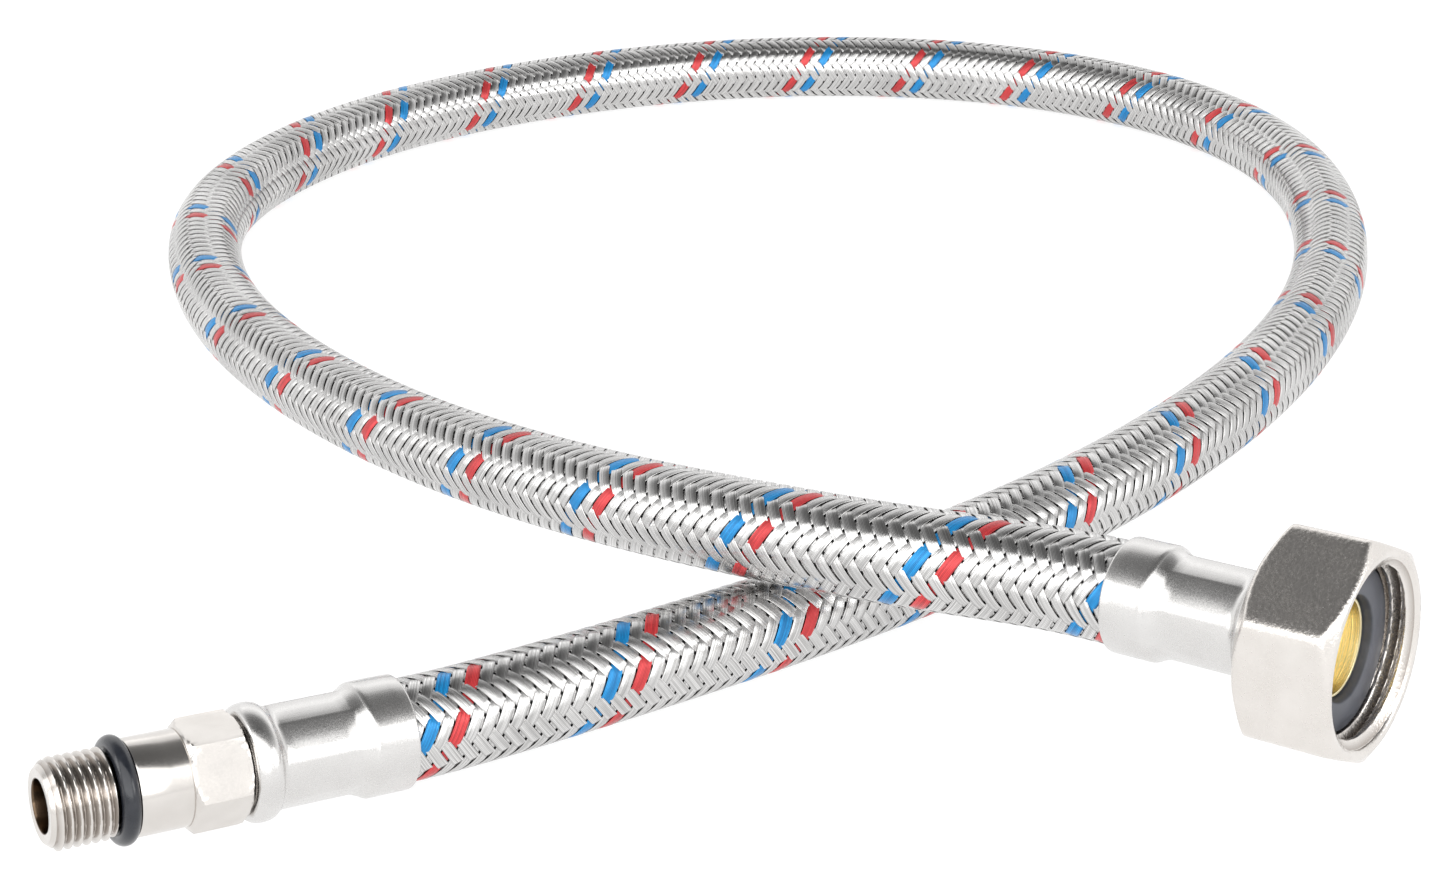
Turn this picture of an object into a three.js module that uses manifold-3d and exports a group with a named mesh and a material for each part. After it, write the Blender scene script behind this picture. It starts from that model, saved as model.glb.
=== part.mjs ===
// Braided supply line: a stainless braided hose with an M10 x 1 O-ring tail on one end and a
// G 1/2 swivel union nut with its flat washer on the other, lying in one loop that crosses itself.
// Millimetres, +Z up. The origin is the middle of the footprint, on the surface it lies on.

import * as THREE from 'three';
import { mergeVertices } from 'three/addons/utils/BufferGeometryUtils.js';
import { NURBSCurve } from 'three/addons/curves/NURBSCurve.js';
import Module from 'manifold-3d';

// ---------------------------------------------------------------- driving dimensions

const GAP = 0.3; // clearance kept between touching pieces
const ROUND = 24; // segments round a turned piece
const CORE = 1; // hole left on the axis of a blank, so that no face meets on the axis

// Hose: rubber tube inside a sleeve of braided wire
const BRAID_R = 6.0;
const BRAID_WALL = 0.7;
const TUBE_R = 4.75;
const TUBE_BORE_R = 3.7;
const BRAID_SIDES = 12;
const TUBE_SIDES = 10;
const BRAID_STEPS = 62;
const TUBE_STEPS = 62;

// Crimped ferrules, both ends alike. Lengths run from the mouth that the hose enters.
const FERRULE = {
  length: 18.85,
  wall: 0.3,
  bandR: 6.65,
  bandEnd: 5.4,
  stepEnd: 6.7,
  crimpR: 5.8,
  beadStart: 15.6,
  beadR: 6.65,
  lip: 0.45,
  throatR: 3.8,
};
const BRAID_END = 4.9; // depth of the braid inside each ferrule
const TUBE_END = 15.0; // depth of the rubber tube inside each ferrule

// Barbed stem that both fittings push into the tube
const BARB = { r: 3.4, rootR: 3.1, tip: 4.0, teeth: 3, pitch: 3.2 };

// Male tail, from its shoulder on the ferrule to its tip
const TAIL = {
  boreR: 2.9,
  hexFlats: 11,
  hexStart: 19.15,
  hexEnd: 25.65,
  shankR: 5.4,
  shankEnd: 31.5,
  neckR: 3.65,
  threadStart: 33.75,
  threadR: 5.0,
  threadRootR: 4.42,
  threadPitch: 1.0,
  tip: 40.75,
};
const O_RING = { middleR: 5.0, sectionR: 1.0, at: 32.55 };

// Swivel union, from the ferrule to the nut's mouth
const NUT = {
  flats: 23,
  back: 18.25,
  mouth: 29.4,
  backHoleR: 7.1,
  shoulder: 21.7,
  endR: 11.25,
  chamfer: 1.25,
  backEndR: 10.9,
  backChamfer: 1.6,
  threadRootR: 10.4,
  threadCrestR: 9.35,
  threadPitch: 1.814,
  mouthR: 10.8,
  turn: 29.5, // degrees that the hexagon stands turned about its axis
};
const INSERT = {
  neckR: 6.1,
  flangeR: 8.9,
  flangeStart: 22.0,
  flangeEnd: 24.5,
  lipR: 5.5, // round the bore, inside the washer's hole
  lipEnd: 25.3,
  boreR: 5.15,
  boreEnd: 20.6,
  stemBoreR: 2.7,
};
const WASHER = { r: 9.0, holeR: 5.8, start: 24.8, end: 26.4 };

// Where each ferrule's mouth stands, which way its fitting points, and how far out of the mouth
// the hose keeps to the fitting's axis
const MALE_END = { mouth: [-45.0, -113.7, 6.85], azimuth: 211.5, elevation: 6.8, straight: 6 };
const FEMALE_END = { mouth: [37.25, -110.35, 22.9], azimuth: -38, elevation: 6.3, straight: 10 };

// Middle of the footprint of the route below, which is where the part's origin goes
const FOOTPRINT_MIDDLE = { x: 0.59, y: -1.265 };

// Control points of the hose's route between the fittings, on the surface and over the crossing
const ROUTE = [
  [-24.5, -102.0, 6.1], [-5.0, -90.5, 6.05], [16.5, -76.5, 6.05], [39.0, -58.5, 6.05],
  [60.0, -36.5, 6.05], [77.5, -12.0, 6.05], [90.5, 15.0, 6.05], [97.0, 42.5, 6.05],
  [97.5, 69.0, 6.05], [90.0, 92.5, 6.05], [75.0, 111.0, 6.05], [53.5, 124.0, 6.05],
  [27.0, 130.5, 6.05], [-1.5, 130.0, 6.05], [-30.0, 122.5, 6.05], [-56.0, 109.5, 6.05],
  [-77.0, 92.0, 6.05], [-91.0, 71.0, 6.05], [-97.6, 47.5, 6.05], [-94.0, 23.0, 6.05],
  [-84.0, -1.5, 6.3], [-67.5, -26.5, 7.8], [-48.0, -49.5, 10.6], [-27.5, -70.0, 14.6],
  [-6.5, -86.5, 18.4], [13.2, -98.1, 20.7],
];
const LEAD = [TUBE_END, 9, 2]; // depths of the control points inside each ferrule

// ---------------------------------------------------------------- finishes

const FINISH = {
  stainless: { color: 0xc9c9cb, roughness: 0.28, metalness: 1 },
  nickel: { color: 0xcfcbc4, roughness: 0.32, metalness: 1 },
  brass: { color: 0xd9b44a, roughness: 0.3, metalness: 1 },
  blackRubber: { color: 0x1c1f22, roughness: 0.45, metalness: 0 },
  greyRubber: { color: 0x4a4d52, roughness: 0.7, metalness: 0 },
};

function named(name, geometry, finish) {
  const mesh = new THREE.Mesh(geometry, new THREE.MeshStandardMaterial(FINISH[finish]));
  mesh.name = name;
  return mesh;
}

// ---------------------------------------------------------------- shape helpers

const wasm = await Module();
wasm.setup();

function toSolid(geometry) {
  const bare = geometry.clone();
  bare.deleteAttribute('normal');
  bare.deleteAttribute('uv');
  const merged = mergeVertices(bare, 1e-4);
  const vertProperties = new Float32Array(merged.getAttribute('position').array);
  const triVerts = new Uint32Array(merged.index.array);
  return new wasm.Manifold(new wasm.Mesh({ numProp: 3, vertProperties, triVerts }));
}

function toGeometry(solid) {
  const { vertProperties, triVerts } = solid.getMesh();
  const geometry = new THREE.BufferGeometry();
  geometry.setAttribute('position', new THREE.BufferAttribute(vertProperties, 3));
  geometry.setIndex(new THREE.BufferAttribute(triVerts, 1));
  geometry.computeVertexNormals();
  return geometry;
}

// A ring turned about Z from a closed outline of [radius, height] points in either order.
function turned(outline) {
  const points = outline.map(([r, z]) => new THREE.Vector2(r, z));
  if (THREE.ShapeUtils.isClockWise(points)) points.reverse();
  points.push(points[0].clone());
  return new THREE.LatheGeometry(points, ROUND).rotateX(Math.PI / 2);
}

function hexPrism(flats, start, end) {
  const length = end - start;
  const prism = new THREE.CylinderGeometry(flats / Math.sqrt(3), flats / Math.sqrt(3), length, 6);
  return prism.rotateX(Math.PI / 2).translate(0, 0, start + length / 2);
}

// Zigzag of a thread's section between two heights, from one radius at its roots to one at its crests.
function threadOutline(start, end, pitch, rootR, crestR) {
  const points = [];
  const turns = Math.floor((end - start) / pitch);
  for (let i = 0; i < turns; i += 1) {
    const z = start + i * pitch;
    points.push([rootR, z + 0.1 * pitch], [crestR, z + 0.45 * pitch], [crestR, z + 0.6 * pitch]);
    points.push([rootR, z + 0.95 * pitch]);
  }
  return points;
}

// Sawtooth stem of a barb, listed from its tip to the shoulder at `end`.
function barbOutline(end) {
  const points = [[BARB.rootR, BARB.tip]];
  for (let i = 0; i < BARB.teeth; i += 1) {
    const z = BARB.tip + (i + 1) * BARB.pitch;
    points.push([BARB.r, z - 0.4], [BARB.r, z], [BARB.rootR, z + 0.3]);
  }
  points.push([BARB.rootR, end]);
  return points;
}

// ---------------------------------------------------------------- hose

function direction({ azimuth, elevation }) {
  const [a, e] = [azimuth, elevation].map(THREE.MathUtils.degToRad);
  return new THREE.Vector3(Math.cos(e) * Math.cos(a), Math.cos(e) * Math.sin(a), Math.sin(e));
}

function leadPoints(fitting) {
  const mouth = new THREE.Vector3(...fitting.mouth);
  return [...LEAD, -fitting.straight].map((depth) => mouth.clone().addScaledVector(direction(fitting), depth));
}

// Cubic curve from the bottom of one ferrule to the bottom of the other.
function hoseCurve() {
  const middle = ROUTE.map((point) => new THREE.Vector3(...point));
  const points = [...leadPoints(MALE_END), ...middle, ...leadPoints(FEMALE_END).reverse()];
  const controls = points.map((p) => new THREE.Vector4(p.x, p.y, p.z, 1));
  const spans = controls.length - 3;
  const knots = [0, 0, 0];
  for (let i = 0; i <= spans; i += 1) knots.push(i / spans);
  knots.push(1, 1, 1);
  const curve = new NURBSCurve(3, knots, controls);
  curve.arcLengthDivisions = 2000;
  return curve;
}

// The part of a curve left after the same length is taken off each end.
class Trimmed extends THREE.Curve {
  constructor(whole, off) {
    super();
    this.whole = whole;
    this.off = off / whole.getLength();
  }

  getPoint(t, target) {
    return this.whole.getPointAt(this.off + t * (1 - 2 * this.off), target);
  }
}

function polygonPoints(r, sides) {
  const points = [];
  for (let i = 0; i < sides; i += 1) {
    const angle = (2 * Math.PI * i) / sides;
    points.push(new THREE.Vector2(r * Math.cos(angle), r * Math.sin(angle)));
  }
  return points;
}

function hollowTube(curve, outerR, innerR, sides, steps) {
  const section = new THREE.Shape(polygonPoints(outerR, sides));
  section.holes.push(new THREE.Path(polygonPoints(innerR, sides)));
  return new THREE.ExtrudeGeometry(section, { steps, extrudePath: curve, bevelEnabled: false });
}

function buildHose() {
  const curve = hoseCurve();
  const sleeve = new Trimmed(curve, TUBE_END - BRAID_END);
  const braidBoreR = BRAID_R - BRAID_WALL;
  const tube = hollowTube(curve, TUBE_R, TUBE_BORE_R, TUBE_SIDES, TUBE_STEPS);
  const braid = hollowTube(sleeve, BRAID_R, braidBoreR, BRAID_SIDES, BRAID_STEPS);
  return [named('inner_hose', tube, 'blackRubber'), named('wire_braid', braid, 'stainless')];
}

// ---------------------------------------------------------------- ferrules

// Thin cup crimped over the hose: wide band, step, crimped waist, rolled bead and end lip.
function buildFerrule(name) {
  const f = FERRULE;
  const beadMiddle = (f.beadStart + f.length) / 2;
  const beadHalf = (f.length - f.beadStart) / 2;
  const outside = [[f.bandR, 0], [f.bandR, f.bandEnd], [f.crimpR, f.stepEnd], [f.crimpR, f.beadStart]];
  for (let i = 1; i < 6; i += 1) {
    const angle = Math.PI * (1 - i / 6);
    const rise = (f.beadR - f.crimpR) * Math.sin(angle);
    outside.push([f.crimpR + rise, beadMiddle + beadHalf * Math.cos(angle)]);
  }
  outside.push([f.crimpR, f.length]);
  const insideCrimpR = f.crimpR - f.wall - 0.1;
  const inside = [
    [f.throatR, f.length], [f.throatR, f.length - f.lip],
    [insideCrimpR, f.length - f.lip], [insideCrimpR, f.stepEnd],
    [f.bandR - f.wall, f.bandEnd], [f.bandR - f.wall, 0],
  ];
  return named(name, turned([...outside, ...inside]), 'stainless');
}

// ---------------------------------------------------------------- male tail

function buildTail() {
  const t = TAIL;
  const thread = threadOutline(t.threadStart, t.tip - 0.6, t.threadPitch, t.threadRootR, t.threadR);
  const body = toSolid(turned([
    ...barbOutline(t.hexStart),
    [t.shankR - 0.4, t.hexStart], [t.shankR - 0.4, t.hexEnd - 0.5], [t.shankR, t.hexEnd - 0.5],
    [t.shankR, t.shankEnd], [t.neckR, t.shankEnd], [t.neckR, t.threadStart - 0.1],
    ...thread,
    [t.threadRootR, t.tip - 0.5], [t.threadRootR - 0.4, t.tip],
    [t.boreR + 0.3, t.tip], [t.boreR, t.tip - 0.3], [t.boreR, BARB.tip],
  ]));
  const cornerR = t.hexFlats / Math.sqrt(3);
  const chamferedBlank = toSolid(turned([
    [CORE, t.hexStart], [cornerR, t.hexStart], [cornerR, t.hexEnd - 0.5],
    [t.hexFlats / 2, t.hexEnd], [CORE, t.hexEnd],
  ]));
  const coreOut = toSolid(turned([
    [CORE / 2, t.hexStart - 1], [t.boreR + 1, t.hexStart - 1],
    [t.boreR + 1, t.hexEnd + 1], [CORE / 2, t.hexEnd + 1],
  ]));
  const hex = toSolid(hexPrism(t.hexFlats, t.hexStart, t.hexEnd)).intersect(chamferedBlank);
  return named('male_tail', toGeometry(body.add(hex.subtract(coreOut))), 'nickel');
}

function buildORing() {
  const ring = new THREE.TorusGeometry(O_RING.middleR, O_RING.sectionR, 12, ROUND);
  return named('o_ring', ring.translate(0, 0, O_RING.at), 'blackRubber');
}

// ---------------------------------------------------------------- swivel union

function buildInsert() {
  const s = INSERT;
  const shoulder = FERRULE.length + GAP;
  return named('union_insert', turned([
    ...barbOutline(shoulder),
    [s.neckR, shoulder], [s.neckR, s.flangeStart], [s.flangeR, s.flangeStart],
    [s.flangeR, s.flangeEnd], [s.lipR, s.flangeEnd], [s.lipR, s.lipEnd],
    [s.boreR, s.lipEnd], [s.boreR, s.boreEnd],
    [s.stemBoreR, s.boreEnd - 1.2], [s.stemBoreR, BARB.tip],
  ]), 'brass');
}

function buildNut() {
  const n = NUT;
  const cornerR = n.flats / Math.sqrt(3);
  const blank = toSolid(turned([
    [CORE, n.back], [n.backEndR, n.back], [cornerR + 0.1, n.back + n.backChamfer],
    [cornerR + 0.1, n.mouth - n.chamfer], [n.endR, n.mouth], [CORE, n.mouth],
  ]));
  const threadStart = WASHER.end - 0.4;
  const thread = threadOutline(threadStart, n.mouth, n.threadPitch, n.threadCrestR, n.threadRootR);
  const cavity = toSolid(turned([
    [CORE / 2, n.back - 1], [n.backHoleR, n.back - 1], [n.backHoleR, n.shoulder],
    [n.threadCrestR, n.shoulder],
    ...thread,
    [n.threadCrestR + 0.4, n.mouth - 0.6], [n.mouthR, n.mouth + 0.1], [CORE / 2, n.mouth + 0.1],
  ]));
  const hex = toSolid(hexPrism(n.flats, n.back, n.mouth)).intersect(blank);
  const nut = named('union_nut', toGeometry(hex.subtract(cavity)), 'nickel');
  nut.rotation.z = THREE.MathUtils.degToRad(n.turn);
  return nut;
}

function buildWasher() {
  const w = WASHER;
  return named('sealing_washer', turned([
    [w.holeR, w.start], [w.r, w.start], [w.r, w.end], [w.holeR, w.end],
  ]), 'greyRubber');
}

// ---------------------------------------------------------------- assembly

// A group whose own Z axis runs out of the ferrule's mouth, through the fitting.
function fittingGroup(fitting, ...pieces) {
  const group = new THREE.Group();
  group.position.set(...fitting.mouth);
  group.rotation.order = 'ZYX';
  group.rotation.z = THREE.MathUtils.degToRad(fitting.azimuth);
  group.rotation.y = THREE.MathUtils.degToRad(90 - fitting.elevation);
  group.add(...pieces);
  return group;
}

const supplyLine = new THREE.Group();
supplyLine.name = 'braided_supply_line';
supplyLine.position.set(-FOOTPRINT_MIDDLE.x, -FOOTPRINT_MIDDLE.y, 0);
supplyLine.add(...buildHose());
supplyLine.add(fittingGroup(MALE_END, buildFerrule('male_ferrule'), buildTail(), buildORing()));
supplyLine.add(fittingGroup(
  FEMALE_END, buildFerrule('female_ferrule'), buildInsert(), buildNut(), buildWasher(),
));

export default supplyLine;
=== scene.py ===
"""Looks of a braided supply line: woven hose, crimped ferrules, threaded tail and swivel nut."""

import logging
import math
from collections.abc import Callable, Sequence
from dataclasses import dataclass, field
from enum import Enum, IntEnum
from itertools import pairwise

import bpy
import numpy as np
from mathutils import Matrix, Vector


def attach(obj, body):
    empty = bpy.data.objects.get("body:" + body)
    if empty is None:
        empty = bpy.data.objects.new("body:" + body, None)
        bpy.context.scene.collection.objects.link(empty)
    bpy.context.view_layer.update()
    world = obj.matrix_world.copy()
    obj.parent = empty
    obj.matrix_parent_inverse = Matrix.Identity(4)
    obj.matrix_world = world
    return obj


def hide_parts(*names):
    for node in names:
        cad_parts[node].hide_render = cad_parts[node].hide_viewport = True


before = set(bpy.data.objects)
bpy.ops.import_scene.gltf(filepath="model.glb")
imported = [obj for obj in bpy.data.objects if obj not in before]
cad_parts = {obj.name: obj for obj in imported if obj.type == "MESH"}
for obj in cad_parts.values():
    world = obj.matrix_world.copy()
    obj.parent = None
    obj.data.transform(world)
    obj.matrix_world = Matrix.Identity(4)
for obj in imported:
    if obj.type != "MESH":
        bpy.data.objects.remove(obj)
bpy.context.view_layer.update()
MM = 0.001
LOG = logging.getLogger("supply_line")

Outline = Sequence[tuple[float, float]]
Colour = tuple[float, float, float, float]
Point = tuple[float, float, float]


# ---------------------------------------------------------------- where things lie


@dataclass(frozen=True)
class Fitting:
    """Place of a fitting, whose own Z axis runs out of its ferrule's mouth. Millimetres, degrees."""

    mouth: Point
    azimuth: float
    elevation: float
    straight: float

    def matrix(self) -> Matrix:
        """Turn and move a piece from the fitting's own frame in millimetres to the row frame."""
        turn = Matrix.Rotation(math.radians(self.azimuth), 4, "Z")
        tilt = Matrix.Rotation(math.radians(90 - self.elevation), 4, "Y")
        return Matrix.Translation(Vector(self.mouth) * MM) @ turn @ tilt @ Matrix.Scale(MM, 4)

    def on_axis(self, depth: float) -> Vector:
        """Return the point on the axis at a depth in millimetres outward from the mouth."""
        return self.matrix() @ Vector((0.0, 0.0, depth))


MALE_END = Fitting((-45.59, -112.435, 6.85), 211.5, 6.8, 6.0)
FEMALE_END = Fitting((36.66, -109.085, 22.9), -38.0, 6.3, 10.0)

FOOTPRINT_MIDDLE = (0.00059, -0.001265, 0.0)
ROUTE = (
    (-0.0245, -0.1020, 0.0061), (-0.0050, -0.0905, 0.00605), (0.0165, -0.0765, 0.00605),
    (0.0390, -0.0585, 0.00605), (0.0600, -0.0365, 0.00605), (0.0775, -0.0120, 0.00605),
    (0.0905, 0.0150, 0.00605), (0.0970, 0.0425, 0.00605), (0.0975, 0.0690, 0.00605),
    (0.0900, 0.0925, 0.00605), (0.0750, 0.1110, 0.00605), (0.0535, 0.1240, 0.00605),
    (0.0270, 0.1305, 0.00605), (-0.0015, 0.1300, 0.00605), (-0.0300, 0.1225, 0.00605),
    (-0.0560, 0.1095, 0.00605), (-0.0770, 0.0920, 0.00605), (-0.0910, 0.0710, 0.00605),
    (-0.0976, 0.0475, 0.00605), (-0.0940, 0.0230, 0.00605), (-0.0840, -0.0015, 0.0063),
    (-0.0675, -0.0265, 0.0078), (-0.0480, -0.0495, 0.0106), (-0.0275, -0.0700, 0.0146),
    (-0.0065, -0.0865, 0.0184), (0.0132, -0.0981, 0.0207),
)
LEAD_IN = (15.0, 9.0, 2.0)


@dataclass
class HoseRoute:
    """The hose's centreline with a frame along it that never twists about its own line."""

    fine: float = 0.0001
    samples: int = 24001

    def __post_init__(self) -> None:
        """Sample the curve evenly along its length and carry a frame along it."""
        dense = self._curve(self._controls())
        gaps = np.linalg.norm(np.diff(dense, axis=0), axis=1)
        along = np.concatenate([[0.0], np.cumsum(gaps)])
        self.length = float(along[-1])
        self.at = np.arange(0.0, self.length + self.fine / 2, self.fine)
        self.centre = np.stack([np.interp(self.at, along, dense[:, k]) for k in range(3)], axis=1)
        heading = np.gradient(self.centre, axis=0)
        self.heading = heading / np.linalg.norm(heading, axis=1)[:, None]
        self.up = self._carried(np.array([0.0, 0.0, 1.0]))
        self.side = np.cross(self.heading, self.up)

    def _controls(self) -> np.ndarray:
        """List the control points from inside the tail's ferrule to inside the nut's.

        Returns:
            The points in metres, one to a row.
        """
        male = [MALE_END.on_axis(depth) for depth in (*LEAD_IN, -MALE_END.straight)]
        female = [FEMALE_END.on_axis(depth) for depth in (*LEAD_IN, -FEMALE_END.straight)]
        middle = [Vector(point) - Vector(FOOTPRINT_MIDDLE) for point in ROUTE]
        return np.array([*male, *middle, *reversed(female)])

    def _curve(self, controls: np.ndarray) -> np.ndarray:
        """Evaluate the clamped cubic spline by de Boor's rule.

        Args:
            controls: the control points, one to a row.

        Returns:
            The points of the curve, close together but not evenly spaced.
        """
        spans = len(controls) - 3
        knots = np.concatenate([np.zeros(3), np.linspace(0.0, 1.0, spans + 1), np.ones(3)])
        t = np.linspace(0.0, 1.0, self.samples)
        span = np.minimum((t * spans).astype(int), spans - 1) + 3
        work = [controls[span - 3 + k] for k in range(4)]
        for level in range(1, 4):
            for k in range(3, level - 1, -1):
                low = knots[span - 3 + k]
                high = knots[span + 1 + k - level]
                share = ((t - low) / (high - low))[:, None]
                work[k] = (1 - share) * work[k - 1] + share * work[k]
        return work[3]

    def _carried(self, start: np.ndarray) -> np.ndarray:
        """Carry a direction along the curve without twist, square to its heading.

        Args:
            start: the direction at the start.

        Returns:
            The direction at every point, one to a row.
        """
        carried = np.zeros_like(self.centre)
        current = start
        for k, heading in enumerate(self.heading):
            current = current - heading * (current @ heading)
            current = current / math.sqrt(current @ current)
            carried[k] = current
        return carried

    def surface(self, along: np.ndarray, angle: np.ndarray, radius: np.ndarray) -> np.ndarray:
        """Return points at lengths, angles and distances from the centreline.

        Args:
            along: lengths from the start, in metres.
            angle: angles about the line from its carried upward side, in radians.
            radius: distances from the line, in metres.

        Returns:
            The points, one to a row.
        """
        inside = np.clip(along, 0.0, self.length)
        out = []
        for k in range(3):
            centre = np.interp(inside, self.at, self.centre[:, k])
            up = np.interp(inside, self.at, self.up[:, k])
            side = np.interp(inside, self.at, self.side[:, k])
            out.append(centre + radius * (np.cos(angle) * up + np.sin(angle) * side))
        return np.stack(out, axis=1)


# ---------------------------------------------------------------- finishes


class Shader:
    """A material's node tree, with a Principled shader ready to be fed."""

    def __init__(self, name: str) -> None:
        """Start an empty material of that name."""
        self.material = bpy.data.materials.new(name)
        self.material.use_nodes = True
        self.tree = self.material.node_tree
        self.surface = self.tree.nodes["Principled BSDF"]

    def add(self, kind: str, **inputs: object) -> bpy.types.Node:
        """Add a node and set its inputs, linking those given as sockets.

        Args:
            kind: the node's type, without the ShaderNode prefix.
            inputs: values or sockets by input name, with _ for a space, or by index as i0, i1.

        Returns:
            The new node.
        """
        node = self.tree.nodes.new(f"ShaderNode{kind}")
        for name, value in inputs.items():
            key = int(name[1:]) if name[1:].isdigit() else name.replace("_", " ")
            self.feed(node.inputs[key], value)
        return node

    def feed(self, socket: bpy.types.NodeSocket, value: object) -> None:
        """Link a socket to another, or set its value.

        Args:
            socket: the input to feed.
            value: another socket, or a plain value.
        """
        if isinstance(value, bpy.types.NodeSocket):
            self.tree.links.new(value, socket)
        else:
            socket.default_value = value

    def math(self, operation: str, a: object, b: object = 0.0) -> bpy.types.NodeSocket:
        """Return the result of one sum.

        Args:
            operation: the Math node's operation.
            a: first value or socket.
            b: second value or socket.

        Returns:
            The result's socket.
        """
        node = self.add("Math", i0=a, i1=b)
        node.operation = operation
        return node.outputs[0]

    def noise(self, where: object, scale: float, detail: float = 3.0) -> bpy.types.NodeSocket:
        """Return a noise value over the given coordinates."""
        return self.add("TexNoise", Vector=where, Scale=scale, Detail=detail).outputs["Fac"]

    def ramp(self, value: object, low: float, high: float) -> bpy.types.NodeSocket:
        """Spread the middle of a noise value to run between two numbers."""
        node = self.add("MapRange", Value=value, From_Min=0.3, From_Max=0.7, To_Min=low, To_Max=high)
        return node.outputs["Result"]

    def blend(self, share: object, first: object, second: object) -> bpy.types.NodeSocket:
        """Mix two colours."""
        node = self.add("MixRGB", Fac=share, Color1=first, Color2=second)
        return node.outputs["Color"]

    def bump(
        self, height: object, distance: float, strength: float = 1.0, under: object = None
    ) -> bpy.types.NodeSocket:
        """Return the normal of a raised surface, on top of another normal where one is given.

        Args:
            height: the socket that says how high the surface stands, from 0 to 1.
            distance: how far a height of 1 stands out, in metres.
            strength: how much of the relief shows.
            under: a normal that this one is laid over.

        Returns:
            The new normal.
        """
        node = self.add("Bump", Height=height, Distance=distance, Strength=strength)
        if under is not None:
            self.feed(node.inputs["Normal"], under)
        return node.outputs["Normal"]

    def finish(self, **inputs: object) -> bpy.types.Material:
        """Feed the Principled shader and return the material.

        Args:
            inputs: values or sockets by input name, with _ for a space.

        Returns:
            The finished material.
        """
        for name, value in inputs.items():
            self.feed(self.surface.inputs[name.replace("_", " ")], value)
        return self.material


def grey(level: float, warmth: float = 0.0) -> Colour:
    """Return a grey with a little more red than blue."""
    return (level + warmth, level, level - warmth, 1.0)


@dataclass(frozen=True)
class DrawnWire:
    """Strand of fine wires lying side by side, in the strand's own UV map."""

    name: str
    colour: Colour
    shade: Colour
    metallic: float
    roughness: float
    wires: int = 9
    roundness: float = 3.6
    wire_gap_shade_strength: float = 0.85
    streaks_per_metre: float = 90.0
    streak_shift: float = 7.31
    relief_height: float = 0.00005
    relief: float = 0.4

    def material(self) -> bpy.types.Material:
        """Build the material: round wires with painted shade in the gaps between them and drawn streaks
        along them.
        """
        s = Shader(self.name)
        place = s.add("SeparateXYZ", Vector=s.add("UVMap").outputs["UV"])
        across = s.math("MULTIPLY", place.outputs["X"], self.wires)
        off_middle = s.math("ABSOLUTE", s.math("SUBTRACT", s.math("FRACT", across), 0.5))
        fall = s.math("MULTIPLY", s.math("POWER", off_middle, 2.0), self.roundness)
        ridge = s.math("SQRT", s.math("SUBTRACT", 1.0, fall))
        # Painted shade: the gaps between the round wires are darkened towards the shade colour.
        wire_gap_shade = s.math("POWER", s.math("MULTIPLY", off_middle, 2.0), 3.0)
        which = s.math("MULTIPLY", s.math("FLOOR", across), self.streak_shift)
        along = s.math("MULTIPLY", place.outputs["Y"], self.streaks_per_metre)
        streak = s.noise(s.add("CombineXYZ", X=which, Y=along).outputs[0], 1.0, 2.0)
        tint = s.blend(s.ramp(streak, -0.15, 0.6), self.colour, self.shade)
        base = s.blend(s.math("MULTIPLY", wire_gap_shade, self.wire_gap_shade_strength), tint, self.shade)
        rough = s.ramp(streak, self.roughness * 0.8, self.roughness * 1.3)
        normal = s.bump(ridge, self.relief_height, self.relief)
        return s.finish(Base_Color=base, Metallic=self.metallic, Roughness=rough, Normal=normal)


# Fineness is a noise scale to the metre, and heights are in metres.
# Painted shade: the brown-black that the bore and the thread's grooves are darkened towards.
HOLLOW_SHADE = (0.13, 0.09, 0.06, 1.0)
LATHE_FINENESS = 9000.0
LINE_FINENESS = 2000.0
LINE_STRETCH = 25.0
CLOUD_FINENESS = 260.0
GRAIN_HEIGHT = 0.00002
LINE_HEIGHT = 0.00003


@dataclass(frozen=True)
class Grooves:
    """A thread's grooves, painted darker for shade: radii at root and crest and span along the axis, in
    millimetres.
    """

    root: float = 0.0
    crest: float = 1.0
    start: float = 0.0
    end: float = 0.0
    root_shade: float = 0.5
    margin: float = 0.1


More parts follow.
